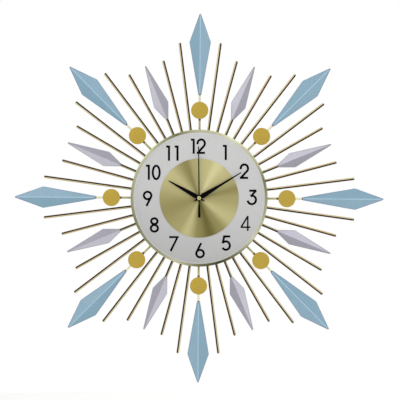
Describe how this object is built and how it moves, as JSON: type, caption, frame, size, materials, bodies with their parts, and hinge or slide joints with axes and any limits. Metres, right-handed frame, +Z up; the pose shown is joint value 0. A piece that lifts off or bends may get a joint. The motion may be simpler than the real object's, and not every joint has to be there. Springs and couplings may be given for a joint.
{
  "type": "sunburst wall clock",
  "caption": "Round quartz wall clock on a star of thin gold rods, folded blue and mauve metal kites and gold discs, with working hands and movement.",
  "frame": {"origin": "on the axis of the hands, in the plane of the wall (the movement's flat rear face)", "axes": "+Z up towards 12 o'clock, -Y out of the dial towards the viewer, +X towards 3 o'clock, +Y into the wall"},
  "size_m": [0.7, 0.0282, 0.7],
  "materials": {
    "gold_rod": "gold lacquered steel rod, satin, darker bronze on one flank",
    "gold_disc": "flat satin gold paint",
    "blue_paint": "pale grey-blue satin paint on folded sheet",
    "mauve_paint": "pale mauve-grey satin paint on folded sheet, two tones across the fold",
    "rim_gold": "polished pale gold",
    "spun_gold": "spun and brushed pale gold",
    "grey_face": "matt light grey enamel with printed black numerals",
    "hand_black": "satin black paint on thin aluminium",
    "black_plastic": "moulded, fine texture",
    "white_plastic": "moulded acetal",
    "steel": "plain zinc-plated",
    "brass": "turned",
    "rubber": "matt",
    "copper_wire": "enamelled winding",
    "board": "solder mask",
    "battery_sleeve": "plain printed sleeve, no lettering"
  },
  "bodies": {
    "case": {"spoke_frame": "gold_rod", "disc_stem_1": "gold_disc", "disc_stem_2": "gold_disc", "disc_stem_3": "gold_disc", "disc_stem_4": "gold_disc", "disc_stem_5": "gold_disc", "disc_stem_6": "gold_disc", "disc_stem_7": "gold_disc", "disc_stem_8": "gold_disc", "blue_kite_1": "blue_paint", "blue_kite_2": "blue_paint", "blue_kite_3": "blue_paint", "blue_kite_4": "blue_paint", "blue_kite_5": "blue_paint", "blue_kite_6": "blue_paint", "blue_kite_7": "blue_paint", "blue_kite_8": "blue_paint", "mauve_kite_1": "mauve_paint", "mauve_kite_2": "mauve_paint", "mauve_kite_3": "mauve_paint", "mauve_kite_4": "mauve_paint", "mauve_kite_5": "mauve_paint", "mauve_kite_6": "mauve_paint", "mauve_kite_7": "mauve_paint", "mauve_kite_8": "mauve_paint", "case_drum": "rim_gold", "bezel_ring": "rim_gold", "frame_screw_1": "steel", "frame_screw_2": "steel", "frame_screw_3": "steel", "hanger_plate": "steel", "dial_face": "grey_face", "centre_disc": "spun_gold", "movement_case": "black_plastic", "movement_cover": "black_plastic", "rubber_washer": "rubber", "brass_washer": "brass", "fixing_nut": "brass", "contact_positive": "steel", "contact_negative": "steel", "drive_coil": "copper_wire", "stator": "steel", "circuit_board": "board", "quartz_crystal": "steel"},
    "battery": {"battery": "battery_sleeve"},
    "rotor": {"rotor": "steel"},
    "intermediate_wheel": {"intermediate_wheel": "white_plastic"},
    "seconds": {"seconds_wheel": "white_plastic", "second_hand": "hand_black", "second_hub": "gold_disc"},
    "third_wheel": {"third_wheel": "white_plastic"},
    "centre_wheel": {"centre_wheel": "brass"},
    "minute": {"minute_arbor": "steel", "minute_hand": "hand_black"},
    "hour_washer": {"hour_washer": "brass"},
    "hour": {"hour_wheel": "brass", "hour_hand": "hand_black"},
    "setting_bush": {"setting_bush": "brass"},
    "setting": {"setting_wheel": "white_plastic", "setting_knob": "black_plastic"}
  },
  "joints": [
    {"name": "second_hand_turn", "type": "hinge", "parent": "case", "child": "seconds", "pos_m": [0, 0, 0], "axis": [0, 1, 0], "continuous": true},
    {"name": "intermediate_wheel_turn", "type": "hinge", "parent": "case", "child": "intermediate_wheel", "pos_m": [0, 0, 0.0105], "axis": [0, 1, 0], "continuous": true},
    {"name": "rotor_turn", "type": "hinge", "parent": "case", "child": "rotor", "pos_m": [0.00846, 0, 0.01358], "axis": [0, 1, 0], "continuous": true},
    {"name": "third_wheel_turn", "type": "hinge", "parent": "case", "child": "third_wheel", "pos_m": [-0.0102, 0, 0], "axis": [0, 1, 0], "continuous": true},
    {"name": "centre_wheel_turn", "type": "hinge", "parent": "case", "child": "centre_wheel", "pos_m": [0, 0, 0], "axis": [0, 1, 0], "continuous": true},
    {"name": "hour_washer_turn", "type": "hinge", "parent": "case", "child": "hour_washer", "pos_m": [0, 0, 0], "axis": [0, 1, 0], "continuous": true},
    {"name": "setting_bush_turn", "type": "hinge", "parent": "case", "child": "setting_bush", "pos_m": [0.0106, 0, 0], "axis": [0, 1, 0], "continuous": true},
    {"name": "minute_hand_set", "type": "hinge", "parent": "centre_wheel", "child": "minute", "pos_m": [0, 0, 0], "axis": [0, 1, 0], "continuous": true},
    {"name": "hour_hand_set", "type": "hinge", "parent": "hour_washer", "child": "hour", "pos_m": [0, 0, 0], "axis": [0, 1, 0], "continuous": true},
    {"name": "setting_knob_set", "type": "hinge", "parent": "setting_bush", "child": "setting", "pos_m": [0.0106, 0, 0], "axis": [0, 1, 0], "continuous": true},
    {"name": "battery_slide", "type": "slide", "parent": "case", "child": "battery", "axis": [0, 1, 0], "range_m": [0, 0.03]}
  ],
  "couplings": [
    {"joint": "intermediate_wheel_turn", "follows": "second_hand_turn", "ratio": -6},
    {"joint": "rotor_turn", "follows": "second_hand_turn", "ratio": 30},
    {"joint": "third_wheel_turn", "follows": "second_hand_turn", "ratio": -0.13333},
    {"joint": "centre_wheel_turn", "follows": "second_hand_turn", "ratio": 0.016667},
    {"joint": "hour_washer_turn", "follows": "second_hand_turn", "ratio": 0.0013889},
    {"joint": "setting_bush_turn", "follows": "second_hand_turn", "ratio": -0.0055556},
    {"joint": "hour_hand_set", "follows": "minute_hand_set", "ratio": 0.083333},
    {"joint": "setting_knob_set", "follows": "minute_hand_set", "ratio": -0.33333}
  ]
}
